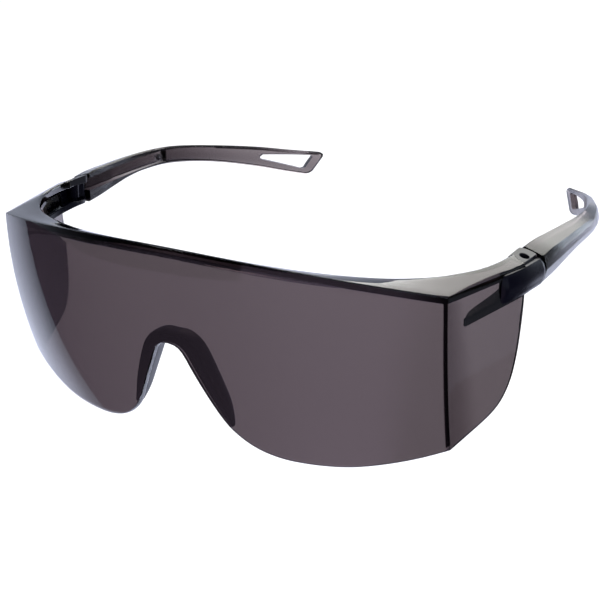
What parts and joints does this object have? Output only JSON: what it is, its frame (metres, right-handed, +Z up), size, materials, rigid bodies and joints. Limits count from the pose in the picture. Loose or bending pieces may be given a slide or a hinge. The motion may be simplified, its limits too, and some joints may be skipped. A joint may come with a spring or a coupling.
{
  "type": "safety glasses",
  "caption": "Wrap-around safety glasses: one-piece smoke tinted visor with brow ledge and side shields, folding temples of adjustable length.",
  "frame": {"origin": "bottom centre of the bounding box with the temples open at their shortest length", "axes": "+Z up, +Y from the lens towards the temple tips, +X towards the wearer's left"},
  "size_m": [0.1586, 0.1488, 0.0559],
  "materials": {
    "visor_smoke": "clear smoke grey polycarbonate, polished",
    "temple_smoke": "dark smoke plastic, satin gloss",
    "slider_smoke": "near-black smoke plastic",
    "pin": "plain steel pin"
  },
  "bodies": {
    "visor": {"visor": "visor_smoke", "left_hinge_pin": "pin", "right_hinge_pin": "pin"},
    "left_hinge": {"left_slider": "slider_smoke", "left_stop_button": "slider_smoke"},
    "right_hinge": {"right_slider": "slider_smoke", "right_stop_button": "slider_smoke"},
    "left_temple": {"left_temple": "temple_smoke"},
    "right_temple": {"right_temple": "temple_smoke"}
  },
  "joints": [
    {"name": "left_fold", "type": "hinge", "parent": "visor", "child": "left_hinge", "pos_m": [0.0749, -0.02215, 0.049], "axis": [0, 0, 1], "range_deg": [0, 90]},
    {"name": "right_fold", "type": "hinge", "parent": "visor", "child": "right_hinge", "pos_m": [-0.0749, -0.02215, 0.049], "axis": [0, 0, -1], "range_deg": [0, 72]},
    {"name": "left_length", "type": "slide", "parent": "left_hinge", "child": "left_temple", "axis": [-0.02, 0.999, 0.04], "range_m": [0, 0.009]},
    {"name": "right_length", "type": "slide", "parent": "right_hinge", "child": "right_temple", "axis": [0.02, 0.999, 0.04], "range_m": [0, 0.009]}
  ]
}
